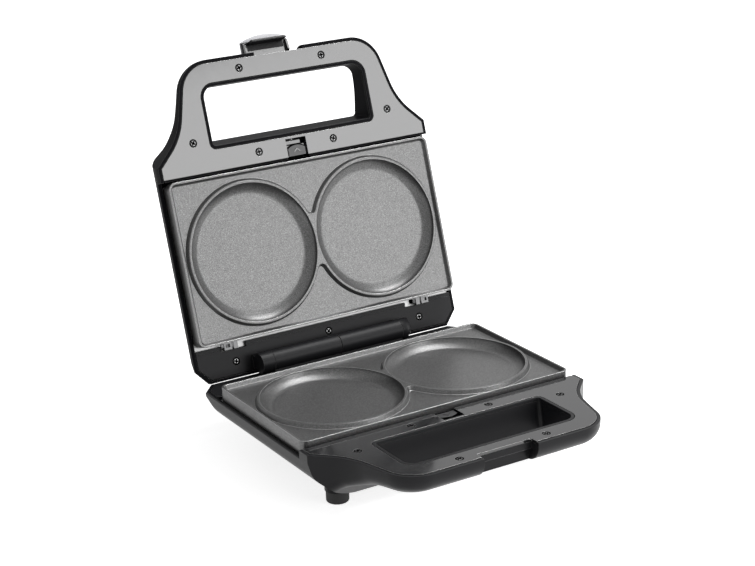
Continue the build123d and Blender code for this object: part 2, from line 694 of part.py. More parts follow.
def latch_open(piece):
    """Swings a piece of the closed latch out to its open stop."""
    forward, z = LATCH_PIVOT
    pivot = Pos(0, -forward, z)
    return pivot * Rot(X=-LATCH_SWING) * pivot.inverse() * piece


def solids_of(piece):
    """The separate solids of a piece or of a group of pieces."""
    group = piece if isinstance(piece, (list, ShapeList)) else [piece]
    return [solid for member in group for solid in member.solids()]


BASE_WIRES = [
    [(-60, 14, -31), (-60, 30, -31), (-62, 43.8, -35)],
    [(-42, 60.3, -35), (-42, 74, -37), (-20, 74, -37), (-6.8, 53, -34.6)],
    [(-52, 60.3, -35), (-52, 68, -31), (-30, 60, -31), (-24, 37, -38), (-13, 37, -37.4)],
]
LID_WIRES = [
    [(LEAD_HOLE, 0, -2), (LEAD_HOLE, 0, -15), (LEAD_HOLE, 30, -30), (-40, 37, -38),
     (-13, 37, -37.4)],
    [(13, 37, -37.4), (22, 44, -37), (20, 60, -36), (8, 53, -34.6)],
]

BASE = {
    "base_housing": base_housing(),
    "base_trim": trim(notched=True),
    "base_hinge_cover": base_hinge_cover(),
    "base_plate": plate(),
    "base_plate_clips": plate_clips(),
    "base_catch": catch(),
    "base_catch_spring": catch_spring(),
    "base_reflector": reflector(),
    "base_heating_element": heating_element(),
    "base_thermostat": thermostat(),
    "base_terminal_block": terminal_block(),
    "base_wiring": wires(BASE_WIRES),
    "hinge_lead": hinge_lead(),
    "cord_inlet": cord_inlet(),
    "rubber_feet": rubber_feet(),
    "foot_screws": foot_screws(),
    "base_trim_screws": screws(TRIM_SCREWS, TRIM_TOP - 1.0),
    "base_cover_screws": screws(COVER_SCREWS, RIM - 1.0),
    "base_reflector_screws": screws(POSTS, FLANGE),
}
LID = {
    "lid_housing": lid_housing(),
    "lid_trim": trim(notched=False),
    "lid_hinge_cover": lid_hinge_cover(),
    "hinge_bush": hinge_bush(),
    "hinge_pin": hinge_pin(),
    "lid_plate": plate(),
    "lid_plate_clips": plate_clips(),
    "lid_catch": catch(),
    "lid_catch_spring": catch_spring(),
    "lid_reflector": reflector(),
    "lid_heating_element": heating_element(),
    "lid_thermostat": thermostat(),
    "thermal_fuse": thermal_fuse(),
    "lid_wiring": wires(LID_WIRES),
    "power_lens": lens(LAMPS[0]),
    "ready_lens": lens(LAMPS[1]),
    "lamp_board": lamp_board(),
    "lid_trim_screws": screws(TRIM_SCREWS, TRIM_TOP - 1.0),
    "lid_cover_screws": screws(COVER_SCREWS, RIM - 1.0),
    "lid_reflector_screws": screws(POSTS, FLANGE),
}
LATCH = {"latch_lever": latch_lever(), "latch_cap": latch_cap()}

nodes = {name: solids_of(piece) for name, piece in BASE.items()}
for name, piece in LID.items():
    nodes[name] = [opened(as_lid(solid)) for solid in solids_of(piece)]
for name, piece in LATCH.items():
    nodes[name] = [opened(latch_open(solid)) for solid in solids_of(piece)]
nodes["latch_pin"] = [opened(latch_pin())]

# The origin is on the ground, under the middle of the opened object.
box = Compound([solid for solids in nodes.values() for solid in solids]).bounding_box()
shift = Pos(-(box.min.X + box.max.X) / 2, -(box.min.Y + box.max.Y) / 2, -box.min.Z)
print("hinge axis at", tuple(round(v, 3) for v in shift.position))
for name, solids in nodes.items():
    export_step(Compound([shift * solid for solid in solids]), f"parts/{name}.step")
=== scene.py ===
# %% [markdown]
# # Dressing a breakfast sandwich maker
# The imported model is the frame: every piece at its real size, in metres, front towards -Y.
# This script gives each piece its finish, models the pieces that need finer shapes than the
# frame holds, and sets up a plain studio. It starts by loading the frame.

# %% Load the frame
import json
import math

import bmesh
import bpy
from mathutils import Matrix, Vector


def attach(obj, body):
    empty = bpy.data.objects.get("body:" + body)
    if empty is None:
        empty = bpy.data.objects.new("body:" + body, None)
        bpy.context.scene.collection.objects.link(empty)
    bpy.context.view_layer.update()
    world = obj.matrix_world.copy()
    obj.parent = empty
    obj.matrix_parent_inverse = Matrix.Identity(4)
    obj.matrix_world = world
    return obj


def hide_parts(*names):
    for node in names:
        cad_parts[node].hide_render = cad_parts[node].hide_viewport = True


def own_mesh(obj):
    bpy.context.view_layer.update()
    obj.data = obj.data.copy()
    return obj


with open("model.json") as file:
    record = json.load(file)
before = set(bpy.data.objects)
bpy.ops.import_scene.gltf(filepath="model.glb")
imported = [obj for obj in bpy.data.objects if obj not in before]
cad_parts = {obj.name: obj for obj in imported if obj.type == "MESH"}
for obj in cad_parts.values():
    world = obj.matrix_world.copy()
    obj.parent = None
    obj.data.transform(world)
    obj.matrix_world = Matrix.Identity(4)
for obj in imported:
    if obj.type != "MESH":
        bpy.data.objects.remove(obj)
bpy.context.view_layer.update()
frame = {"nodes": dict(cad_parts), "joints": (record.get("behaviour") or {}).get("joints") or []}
nodes = frame["nodes"]
MM = 0.001

# %% [markdown]
# ## Where things are
# The hinge axis and the open angles come from the frame's own joints. Everything is measured on
# the closed appliance, where the numbers are simple. Three matrices carry it to where it is in
# the scene: the base's only moves, the lid's also swings open about the hinge, and the latch's
# turns about its own pin after that. Two small functions do the same for one point, given as
# across, forward of the hinge and up.

# %% Places on the two halves
joints = {joint["name"]: joint for joint in frame["joints"]}
HINGE = Vector(joints["lid_hinge"]["pos_m"])
OPEN = math.radians(joints["lid_hinge"]["range_deg"][1])
SWING = math.radians(joints["latch_hinge"]["range_deg"][1])
PIVOT = Matrix.Translation(Vector(joints["latch_hinge"]["pos_m"]))
base_place = Matrix.Translation(HINGE)
lid_place = base_place @ Matrix.Rotation(-OPEN, 4, "X")
latch_place = PIVOT @ Matrix.Rotation(-SWING, 4, "X") @ PIVOT.inverted() @ lid_place


def on_base(x, forward, z):
    """A point of the base, in millimetres from the hinge axis."""
    return base_place @ (Vector((x, -forward, z)) * MM)


def on_lid(x, forward, z):
    """A point of the lid, in millimetres on the closed lid, swung open."""
    return lid_place @ (Vector((x, -forward, z)) * MM)


print("hinge at", tuple(round(v, 4) for v in HINGE), "open by", round(math.degrees(OPEN), 1))

# %% [markdown]
# ## The camera
# A product camera stands to the left and a little above, with a long lens that keeps the
# plates' edges nearly parallel. A Track To constraint could aim it, but not tilt it sideways. So
# its three angles are turned into a rotation matrix by hand, and because a camera looks along its
# own -Z, with +Y up and +X right, the matrix's columns are those three directions.

# %% Camera
YAW, PITCH, ROLL = (math.radians(angle) for angle in (30.893, 19.177, -1.9))
CAMERA_PLACE = on_base(-661.1, 1167.6, 515.4)
SENSOR, LENS = 36.0, 89.28
right = Vector((math.cos(YAW), -math.sin(YAW), 0))
up = Vector((math.sin(YAW) * math.sin(PITCH), math.cos(YAW) * math.sin(PITCH), math.cos(PITCH)))
ahead = Vector((math.sin(YAW) * math.cos(PITCH), math.cos(YAW) * math.cos(PITCH), -math.sin(PITCH)))
across = math.cos(ROLL) * right + math.sin(ROLL) * up
upward = math.cos(ROLL) * up - math.sin(ROLL) * right

camera = bpy.data.objects.new("camera", bpy.data.cameras.new("camera"))
camera.data.sensor_width = SENSOR
camera.data.lens = LENS
camera.matrix_world = Matrix.Translation(CAMERA_PLACE) @ Matrix(
    (across, upward, -ahead)).transposed().to_4x4()
bpy.context.scene.collection.objects.link(camera)
bpy.context.scene.camera = camera
print("camera at", tuple(round(v, 3) for v in camera.location))

# %% [markdown]
# ## The studio
# The world is white to the eye and in reflections, and a plain grey light to dull surfaces.
# The floor does the same with its own glow, so that it keeps a shadow but ends up white. More
# light could whiten the floor too, but it would bleach the grey plates.

# %% World and floor
scene = bpy.context.scene
scene.view_settings.view_transform = "Standard"
AMBIENT = 0.32
FLOOR_GLOW = 0.8
FLOOR_SIZE = 12


def seen_directly(tree):
    """1 on camera, glossy and transmission rays, and 0 on the rest."""
    path = tree.nodes.new("ShaderNodeLightPath")
    total = path.outputs["Is Camera Ray"]
    for ray in ("Is Glossy Ray", "Is Transmission Ray"):
        either = tree.nodes.new("ShaderNodeMath")
        either.operation = "MAXIMUM"
        tree.links.new(total, either.inputs[0])
        tree.links.new(path.outputs[ray], either.inputs[1])
        total = either.outputs[0]
    return total


def between(tree, share, low, high):
    """A value that runs from low to high as share goes from 0 to 1."""
    spread = tree.nodes.new("ShaderNodeMapRange")
    spread.inputs["To Min"].default_value = low
    spread.inputs["To Max"].default_value = high
    tree.links.new(share, spread.inputs["Value"])
    return spread.outputs["Result"]


world = bpy.data.worlds.new("studio")
world.use_nodes = True
sky = world.node_tree.nodes["Background"]
sky.inputs["Color"].default_value = (1, 1, 1, 1)
world.node_tree.links.new(between(world.node_tree, seen_directly(world.node_tree), AMBIENT, 1.0),
                          sky.inputs["Strength"])
scene.world = world

bpy.ops.object.select_all(action="DESELECT")
bpy.ops.mesh.primitive_plane_add(size=FLOOR_SIZE, location=(0, 0, 0))
floor = bpy.context.object
floor.name = "studio_floor"
paper = bpy.data.materials.new("white_paper")
paper.use_nodes = True
sheet = paper.node_tree.nodes["Principled BSDF"]
sheet.inputs["Base Color"].default_value = (0.9, 0.9, 0.9, 1)
sheet.inputs["Roughness"].default_value = 0.9
sheet.inputs["Specular IOR Level"].default_value = 0.0
sheet.inputs["Emission Color"].default_value = (1, 1, 1, 1)
paper.node_tree.links.new(between(paper.node_tree, seen_directly(paper.node_tree), 0.0, FLOOR_GLOW),
                          sheet.inputs["Emission Strength"])
floor.data.materials.append(paper)
print("floor and world ready")

# %% [markdown]
# ## The lights
# Black gloss shows the lamps rather than its own colour. One broad softbox stands in front,
# where the opened lid mirrors it towards the camera, which turns the lid's gloss frame light
# grey. A small one above it catches the walls of the lid's pans, and a large one overhead does
# the same for the base's pans. A softbox is set by the brightness that it shows in a mirror,
# and its power follows from its area, so that its size can change while the greys stay.

# %% Softboxes
TARGET = on_lid(0, 110, 5)


def softbox(name, towards, distance, width, height, brightness):
    """A rectangular lamp in a direction from the object, aimed back at it."""
    lamp = bpy.data.lights.new(name, "AREA")
    lamp.shape = "RECTANGLE"
    lamp.size, lamp.size_y = width, height
    lamp.energy = brightness * math.pi * width * height
    box = bpy.data.objects.new(name, lamp)
    direction = Vector(towards).normalized()
    box.location = TARGET + direction * distance
    box.rotation_euler = direction.to_track_quat("Z", "Y").to_euler()
    box.visible_camera = False
    scene.collection.objects.link(box)


softbox("front_softbox", (0.485, -0.852, 0.195), 1.6, 0.95, 0.75, 5.2)
softbox("upper_softbox", (0.46, -0.6, 0.66), 1.6, 0.5, 0.35, 9.0)
softbox("top_softbox", (0.45, 0.0, 0.89), 1.5, 0.95, 0.6, 14.0)

# %% [markdown]
# ## Finishes
# Every finish starts from the same few steps. A fine noise, whose grain is given in millimetres,
# drives the roughness, so that no surface is quite even. What is the same all over is set on the
# shader itself. An image could carry the grain, but it needs an unwrapped mesh, and the frame's
# loose triangles have none. Noise on Object coordinates fits any piece at its real size.

# %% Pattern, roughness and colour
def finish(name, colour, metallic=0.0, roughness=0.5, specular=0.5):
    """A new material; returns it with its node tree and its shader."""
    material = bpy.data.materials.new(name)
    material.use_nodes = True
    shader = material.node_tree.nodes["Principled BSDF"]
    shader.inputs["Base Color"].default_value = (*colour, 1)
    shader.inputs["Metallic"].default_value = metallic
    shader.inputs["Roughness"].default_value = roughness
    shader.inputs["Specular IOR Level"].default_value = specular
    return material, material.node_tree, shader


def grain(tree, cell_mm, detail=2.0):
    """Noise whose grains are about cell_mm across, on Object coordinates."""
    place = tree.nodes.new("ShaderNodeTexCoord")
    noise = tree.nodes.new("ShaderNodeTexNoise")
    noise.inputs["Scale"].default_value = 1.0 / (cell_mm * MM)
    noise.inputs["Detail"].default_value = detail
    tree.links.new(place.outputs["Object"], noise.inputs["Vector"])
    return noise.outputs["Fac"]


def vary_roughness(tree, shader, pattern, low, high):
    """Roughness that follows a pattern."""
    tree.links.new(between(tree, pattern, low, high), shader.inputs["Roughness"])


def vary_colour(tree, shader, pattern, stops):
    """Base colour from a ramp over a pattern; stops are (position, colour)."""
    ramp = tree.nodes.new("ShaderNodeValToRGB")
    points = ramp.color_ramp.elements
    while len(points) < len(stops):
        points.new(0.5)
    for point, (position, colour) in zip(points, stops):
        point.position = position
        point.color = (*colour, 1)
    tree.links.new(pattern, ramp.inputs["Fac"])
    tree.links.new(ramp.outputs["Color"], shader.inputs["Base Color"])


print("pattern helpers ready")

# %% [markdown]
# ### Edges
# No moulded or cast edge is sharp. A Bevel modifier could round the mesh itself, but it needs
# tidy faces along each edge, which loose triangles aren't. The Bevel node instead turns the
# normal smoothly over each edge, so that it catches the light, and a bump adds the texture on
# top. Where the rounded normal leaves the surface's own, the piece has an edge, and the last
# helper paints a line of another colour there: a lighter one is a painted highlight, and a
# darker one painted shade.

# %% Rounded edges, relief and painted edge lines
EDGE_SAMPLES = 6
FLAT_ABOVE, EDGE_BELOW = 0.995, 0.9


def round_off(tree, edge_mm):
    """A normal that turns smoothly over the edges, as if they were rounded by edge_mm."""
    edge = tree.nodes.new("ShaderNodeBevel")
    edge.samples = EDGE_SAMPLES
    edge.inputs["Radius"].default_value = edge_mm * MM
    return edge.outputs["Normal"]


def relief(tree, shader, pattern, depth_mm, rounded, strength=1.0):
    """Bump from a pattern, over a normal that is rounded off."""
    bump = tree.nodes.new("ShaderNodeBump")
    bump.inputs["Distance"].default_value = depth_mm * MM
    bump.inputs["Strength"].default_value = strength
    tree.links.new(pattern, bump.inputs["Height"])
    tree.links.new(rounded, bump.inputs["Normal"])
    tree.links.new(bump.outputs["Normal"], shader.inputs["Normal"])


def painted_edge_lines(tree, shader, rounded, colour):
    """Paints another colour along the edges, where the rounded normal leaves the surface's own: a
    lighter one is a painted highlight and a darker one painted shade.
    """
    surface = tree.nodes.new("ShaderNodeNewGeometry")
    agree = tree.nodes.new("ShaderNodeVectorMath")
    agree.operation = "DOT_PRODUCT"
    tree.links.new(rounded, agree.inputs[0])
    tree.links.new(surface.outputs["Normal"], agree.inputs[1])
    share = tree.nodes.new("ShaderNodeMapRange")
    share.inputs["From Min"].default_value = FLAT_ABOVE
    share.inputs["From Max"].default_value = EDGE_BELOW
    tree.links.new(agree.outputs["Value"], share.inputs["Value"])
    mix = tree.nodes.new("ShaderNodeMix")
    mix.data_type = "RGBA"
    tree.links.new(share.outputs["Result"], mix.inputs["Factor"])
    flat, edge = (socket for socket in mix.inputs if socket.type == "RGBA")
    base = shader.inputs["Base Color"]
    if base.is_linked:
        tree.links.new(base.links[0].from_socket, flat)
    else:
        flat.default_value = base.default_value
    edge.default_value = (*colour, 1)
    result, = (socket for socket in mix.outputs if socket.type == "RGBA")
    tree.links.new(result, base)


print("edge helpers ready")

# %% [markdown]
# ### Moulded plastics
# The housings are black with a fine spark-eroded texture, which is duller on the lid. The frames
# round the handle loops are polished, with a thin light line painted along their edge as a
# highlight, and the latch and the catches lie between. The lid and the rear covers get a fainter
# painted highlight along their edges, and the catch a darker line of painted shade. Recesses that
# no lamp reaches get a flat black without reflection, which is painted shade. All of them differ
# only in colour, gloss, grain and edge, so one function makes them all.

# %% Plastics
def moulded(name, colour, low, high, cell_mm, depth_mm, edge_mm, specular=0.5, painted_edge_grey=None):
    """Textured plastic, with another grey painted along its edges where one is given: lighter greys
    make a painted highlight, darker ones painted shade.
    """
    material, tree, shader = finish(name, colour, specular=specular)
    pattern = grain(tree, cell_mm)
    rounded = round_off(tree, edge_mm)
    vary_roughness(tree, shader, pattern, low, high)
    relief(tree, shader, pattern, depth_mm, rounded)
    if painted_edge_grey:
        painted_edge_lines(tree, shader, rounded, (painted_edge_grey,) * 3)
    return material


housing_black = moulded("housing_black", (0.007, 0.007, 0.008), 0.3, 0.42, 0.7, 0.012, 0.3, 0.13)
# Where an edge grey is given, a line of it is painted along the edges: the lighter greys are
# painted highlights, and the catch's darker one is painted shade.
lid_black = moulded("lid_black", (0.007, 0.007, 0.008), 0.4, 0.52, 0.7, 0.012, 0.4, 0.01,
                    painted_edge_grey=0.1)
cover_black = moulded("cover_black", (0.009, 0.009, 0.01), 0.36, 0.48, 0.8, 0.012, 0.3, 0.12,
                      painted_edge_grey=0.1)
frame_gloss = moulded("frame_gloss", (0.008, 0.008, 0.009), 0.07, 0.12, 9.0, 0.002, 0.3, 0.85,
                      painted_edge_grey=0.35)
catch_black = moulded("catch_black", (0.009, 0.009, 0.01), 0.18, 0.28, 1.0, 0.006, 0.15, 0.85,
                      painted_edge_grey=0.002)
catch_grip = moulded("catch_grip", (0.009, 0.009, 0.01), 0.34, 0.48, 0.9, 0.15, 0.1, 0.6)
latch_black = moulded("latch_black", (0.009, 0.009, 0.01), 0.14, 0.24, 1.0, 0.004, 0.2, 0.6)
foot_rubber = moulded("foot_rubber", (0.012, 0.012, 0.012), 0.6, 0.8, 0.6, 0.03, 0.4)
terminal_white = moulded("terminal_white", (0.72, 0.7, 0.65), 0.4, 0.55, 1.0, 0.01, 0.3)
# A flat black without reflection, the colour of painted shade, for the screws' rims and recesses
# and the catches' grooves and tongues.
painted_shade_black = moulded("painted_shade_black", (0.003, 0.003, 0.003), 0.4, 0.55, 0.4, 0.004, 0.1, 0.0)
sleeve_black = moulded("sleeve_black", (0.012, 0.012, 0.012), 0.5, 0.65, 0.8, 0.01, 0.1)
sleeve_white = moulded("sleeve_white", (0.7, 0.69, 0.66), 0.5, 0.65, 0.8, 0.01, 0.1)
board_brown = moulded("board_brown", (0.28, 0.14, 0.05), 0.45, 0.6, 1.0, 0.01, 0.1)
print("plastics ready")

# %% [markdown]
# ### The non-stick coating
# The cast plates are sprayed with a dark coating that carries fine bright flakes. Up close it
# is a speckle of light and dark over an orange-peel surface, with a soft metallic sheen, and
# each edge gets a painted highlight, a light grey line along it. Voronoi cells would give flakes
# with hard borders, which flicker from afar, so the speckle is a noise through a colour ramp.

# %% Coating
def coating():
    """Dark grey coating with fine flakes, and a painted highlight line along its edges."""
    material, tree, shader = finish("nonstick_coating", (0.09, 0.09, 0.09), metallic=0.6,
                                    specular=0.35)
    flakes = grain(tree, 0.5, detail=3.0)
    vary_colour(tree, shader, flakes,
                [(0.34, (0.05,) * 3), (0.5, (0.09,) * 3), (0.66, (0.16,) * 3)])
    peel = grain(tree, 1.2)
    rounded = round_off(tree, 0.45)
    vary_roughness(tree, shader, peel, 0.29, 0.38)
    relief(tree, shader, peel, 0.02, rounded, strength=0.5)
    # A light grey line painted along every edge: a painted highlight.
    painted_edge_lines(tree, shader, rounded, (0.5, 0.5, 0.5))
    return material


nonstick = coating()
print("coating ready")

# %% [markdown]
# ### Metals
# Rolled sheet for the reflectors and thermostats, plated spring steel, darker steel for the
# plates' clips, turned steel for the pins, the heat-dulled sheath of the elements, darkened crowns
# for the screws in view and zinc for the rest. A metal's look is mostly what it mirrors, so they
# differ in colour and roughness alone. The latch's cap is silver lacquer over plastic, so it is
# only partly metallic and stays grey where a bare mirror would show nothing but white.

# %% Metals
METAL_EDGE = 0.15


def metal(name, colour, low, high, cell_mm, depth_mm=0.004):
    """Bare or plated metal with a lightly uneven surface."""
    material, tree, shader = finish(name, colour, metallic=1.0)
    pattern = grain(tree, cell_mm)
    vary_roughness(tree, shader, pattern, low, high)
    relief(tree, shader, pattern, depth_mm, round_off(tree, METAL_EDGE))
    return material


bright_sheet = metal("bright_sheet", (0.27, 0.27, 0.27), 0.36, 0.5, 6.0)
spring_steel = metal("spring_steel", (0.62, 0.62, 0.63), 0.2, 0.35, 2.0)
clip_steel = metal("clip_steel", (0.07, 0.07, 0.071), 0.22, 0.36, 1.5)
turned_steel = metal("turned_steel", (0.5, 0.5, 0.5), 0.2, 0.32, 0.6)
dull_sheath = metal("dull_sheath", (0.3, 0.28, 0.26), 0.45, 0.65, 2.5, 0.01)
screw_crown = metal("screw_crown", (0.12, 0.12, 0.121), 0.18, 0.28, 0.5)
screw_zinc = metal("screw_zinc", (0.62, 0.61, 0.58), 0.25, 0.4, 0.8)
fuse_metal = metal("fuse_metal", (0.6, 0.5, 0.3), 0.3, 0.45, 1.0)
silver_skin, tree, shader = finish("silver_skin", (0.4, 0.4, 0.415), metallic=0.35)
vary_roughness(tree, shader, grain(tree, 0.5), 0.4, 0.5)
relief(tree, shader, grain(tree, 0.5), 0.003, round_off(tree, 0.3))
print("metals ready")

# %% [markdown]
# ### Lenses
# The two indicator lenses are glossy coloured plastic that lets some light through. Clear glass
# would show the inside of the housing, so only a third of the light passes and the rest comes
# back in the plastic's own colour.

# %% Lenses
def lamp_lens(name, colour):
    """Clear coloured plastic."""
    material, tree, shader = finish(name, colour, roughness=0.12)
    shader.inputs["Transmission Weight"].default_value = 0.35
    pattern = grain(tree, 2.0)
    vary_roughness(tree, shader, pattern, 0.08, 0.16)
    relief(tree, shader, pattern, 0.004, round_off(tree, 0.2))
    return material


red_lens = lamp_lens("red_lens", (0.5, 0.02, 0.015))
green_lens = lamp_lens("green_lens", (0.02, 0.35, 0.06))
print("lenses ready")

# %% [markdown]
# ## Putting the finishes on
# The frame's meshes are loose triangles. Merging them in edit mode would work, but it changes
# meshes that are right as they are. A Weld modifier joins them and an Edge Split keeps the real
# corners sharp, so that round surfaces shade smoothly without touching the mesh.

# %% Dress the frame's nodes
DRESS = {
    "base_housing": housing_black, "lid_housing": lid_black,
    "base_trim": frame_gloss, "lid_trim": frame_gloss,
    "base_hinge_cover": cover_black, "lid_hinge_cover": cover_black,
    "base_plate": nonstick, "lid_plate": nonstick,
    "base_plate_clips": clip_steel, "lid_plate_clips": clip_steel,
    "base_reflector": bright_sheet, "lid_reflector": bright_sheet,
    "base_heating_element": dull_sheath, "lid_heating_element": dull_sheath,
    "base_thermostat": bright_sheet, "lid_thermostat": bright_sheet,
    "thermal_fuse": fuse_metal, "base_terminal_block": terminal_white,
    "base_wiring": sleeve_white, "lid_wiring": sleeve_white, "hinge_lead": sleeve_black,
    "hinge_bush": turned_steel, "hinge_pin": turned_steel, "latch_pin": turned_steel,
    "cord_inlet": foot_rubber, "rubber_feet": foot_rubber, "foot_screws": screw_zinc,
    "base_reflector_screws": screw_zinc, "lid_reflector_screws": screw_zinc,
    "latch_cap": silver_skin,
    "power_lens": red_lens, "ready_lens": green_lens, "lamp_board": board_brown,
}
CORNER = math.radians(28)
WELD = 0.002 * MM

for name, material in DRESS.items():
    node = nodes[name]
    node.data.materials.clear()
    node.data.materials.append(material)
    node.data.shade_smooth()
    weld = node.modifiers.new("weld", "WELD")
    weld.merge_threshold = WELD
    split = node.modifiers.new("corners", "EDGE_SPLIT")
    split.split_angle = CORNER
print("dressed", len(DRESS), "of", len(nodes), "nodes")

# %% [markdown]
# ## Tools for modelling by hand
# A new piece starts as a primitive at its size, and its faces are picked by where they lie and
# which way they face. A piece that only needs a change is borrowed: a copy of the frame's mesh is
# brought back to its closed half, where the numbers are simple, and its loose triangles merged.

# %% Modelling by hand
def pick(piece, wanted):
    """Selects, in edit mode, the faces whose middle and normal pass a test."""
    mesh = bmesh.from_edit_mesh(piece.data)
    for face in mesh.faces:
        face.select_set(wanted(face.calc_center_median(), face.normal))
    bmesh.update_edit_mesh(piece.data)


def only(piece):
    """Selects one piece alone and makes it active."""
    bpy.ops.object.select_all(action="DESELECT")
    piece.select_set(True)
    bpy.context.view_layer.objects.active = piece


def start(name, primitive, **sizes):
    """Adds a primitive with nothing else selected, names it and enters edit mode."""
    bpy.ops.object.select_all(action="DESELECT")
    primitive(**sizes)
    piece = bpy.context.object
    piece.name = name
    bpy.ops.object.transform_apply(location=True, rotation=True, scale=True)
    bpy.ops.object.mode_set(mode="EDIT")
    bpy.ops.mesh.select_mode(type="FACE")
    bpy.ops.mesh.select_all(action="DESELECT")
    return piece


def cut(piece, cutter):
    """Takes one piece's shape out of another, and deletes the cutter."""
    boolean = piece.modifiers.new("cut", "BOOLEAN")
    boolean.object = cutter
    boolean.solver = "EXACT"
    bpy.context.view_layer.objects.active = piece
    bpy.ops.object.modifier_apply(modifier=boolean.name)
    bpy.data.objects.remove(cutter)


def borrow(node, name, place, *finishes):
    """A merged copy of a frame piece on its closed half, left in edit mode, all selected."""
    data = nodes[node].data.copy()
    data.transform(place.inverted())
    data.materials.clear()
    for material in finishes:
        data.materials.append(material)
    copy = bpy.data.objects.new(name, data)
    scene.collection.objects.link(copy)
    only(copy)
    bpy.ops.mesh.customdata_custom_splitnormals_clear()
    bpy.ops.object.mode_set(mode="EDIT")
    bpy.ops.mesh.select_all(action="SELECT")
    bpy.ops.mesh.remove_doubles(threshold=WELD)
    bpy.ops.mesh.normals_make_consistent(inside=False)
    return copy


print("modelling helpers ready")

# %% [markdown]
# ## Pan-head screws
# The frame's screws are plain discs with a slot each way. A real one has a low dome and a cross
# recess whose wings taper to its bottom. The dome could be the cap of a sphere, but a disc whose
# top is inset and raised in steps also gives the upright rim and the flat crown. The shank is
# drawn out of its underside, and the recess is cut by two tapered wings. The crown keeps a
# metallic gloss, and the rest, with the rim round it and the recess, is a flat black without
# reflection that paints the shade of the seat and of the recess.

# %% One screw
HEAD_RADIUS, HEAD_SIDE = 3.0, 0.35
DOME_STEPS = [(0.35, 0.3), (0.6, 0.33), (0.4, 0.04), (0.6, 0.02)]
WING_HALF, WING_THICK, WING_TAPER = 2.05, 1.4, 0.45
WING_TOP, WING_HEIGHT, RECESS_DEPTH = HEAD_SIDE + 0.9, 3.08, 2.2
SHANK_RADIUS, SHANK_LENGTH, POINT_LENGTH, POINT_TAPER = 1.4, 6.5, 1.6, 0.15


def recess_wing(half_x, half_y):
    """One wing of the cross recess, narrowing downwards."""
    wing = start("wing", bpy.ops.mesh.primitive_cube_add, size=1,
                 location=(0, 0, (WING_TOP - RECESS_DEPTH / 2) * MM),
                 scale=(2 * half_x * MM, 2 * half_y * MM, WING_HEIGHT * MM))
    pick(wing, lambda middle, normal: normal.z < -0.5)
    bpy.ops.transform.resize(value=(WING_TAPER, WING_TAPER, 1))
    bpy.ops.object.mode_set(mode="OBJECT")
    return wing


screw = start("screw", bpy.ops.mesh.primitive_cylinder_add, vertices=40, radius=HEAD_RADIUS * MM,
              depth=HEAD_SIDE * MM, location=(0, 0, HEAD_SIDE / 2 * MM))
pick(screw, lambda middle, normal: normal.z > 0.9)
for step_in, step_up in DOME_STEPS:
    bpy.ops.mesh.inset(thickness=step_in * MM, depth=step_up * MM)
pick(screw, lambda middle, normal: normal.z < -0.9)
bpy.ops.mesh.inset(thickness=(HEAD_RADIUS - SHANK_RADIUS) * MM)
for length in (SHANK_LENGTH, POINT_LENGTH):
    bpy.ops.mesh.extrude_region_move(TRANSFORM_OT_translate={"value": (0, 0, -length * MM)})
bpy.ops.transform.resize(value=(POINT_TAPER, POINT_TAPER, 1))
bpy.ops.object.mode_set(mode="OBJECT")
for halves in ((WING_HALF, WING_THICK / 2), (WING_THICK / 2, WING_HALF)):
    cut(screw, recess_wing(*halves))
only(screw)
bpy.ops.object.shade_smooth_by_angle(angle=CORNER)
screw.data.materials.append(painted_shade_black)
screw.data.materials.append(screw_crown)
# Every face but the crown gets the flat black of painted shade.
for face in screw.data.polygons:
    on_crown = face.normal.z > 0.9 and face.center.z > (HEAD_SIDE + DOME_STEPS[0][1]) * MM
    face.material_index = 1 if on_crown else 0
print("screw faces:", len(screw.data.polygons))

# %% [markdown]
# ### Screws in their seats
# Six screws hold each frame and three each hinge cover. Only the right-hand places are listed,
# and the left-hand ones mirror them. Each screw is a copy with its own mesh and its own turn,
# because no two are driven to the same angle, and on the lid it faces the other way up.

# %% Screws in their seats
TRIM_SCREWS = [(35.6, 220.5), (84.5, 170.8), (32.4, 155.9)]
COVER_SCREWS = [(81.5, 5.0), (0.0, 10.8)]
TRIM_SEAT, COVER_SEAT = -5.0, -11.0
TURN = math.radians(37)


def seat_screws(name, places, seat, half, node):
    """Sets a copy of the screw in each seat of a half, on the right and on the left."""
    spots = places + [(-x, forward) for x, forward in places if x]
    mesh = bmesh.new()
    for index, (x, forward) in enumerate(spots):
        copy = screw.data.copy()
        turned = Matrix.Rotation(index * TURN, 4, "Z")
        if half == "lid":
            facing = lid_place @ Matrix.Translation(Vector((x, -forward, -seat)) * MM)
            facing = facing @ Matrix.Rotation(math.pi, 4, "X")
        else:
            facing = base_place @ Matrix.Translation(Vector((x, -forward, seat)) * MM)
        copy.transform(facing @ turned)
        mesh.from_mesh(copy)
        bpy.data.meshes.remove(copy)
    data = bpy.data.meshes.new(name)
    mesh.to_mesh(data)
    mesh.free()
    # The flat black paints the shade round each head and in its recess.
    data.materials.append(painted_shade_black)
    data.materials.append(screw_crown)
    piece = bpy.data.objects.new(name, data)
    scene.collection.objects.link(piece)
    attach(piece, half)
    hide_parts(node)
    print(name, len(spots), "screws")


for half in ("base", "lid"):
    seat_screws(f"{half}_frame_screws", TRIM_SCREWS, TRIM_SEAT, half, f"{half}_trim_screws")
    seat_screws(f"{half}_rear_screws", COVER_SCREWS, COVER_SEAT, half, f"{half}_cover_screws")
bpy.data.objects.remove(screw)

# %% [markdown]
# ## Plate catches
# Each catch has a thumb pad with a curved groove round its front. The frame's catch has the pad
# but not the groove, so it is borrowed and cut. A square ring would leave a flat floor that
# catches a lamp, while a four-sided one on its corner cuts a V, which reads as a dark line, and
# the V's walls are also painted black as shade. The pad's top gets a rougher finish, for grip,
# while the arrow on it keeps the gloss, and the tongue towards the plate is painted black as
# the shade it lies in.

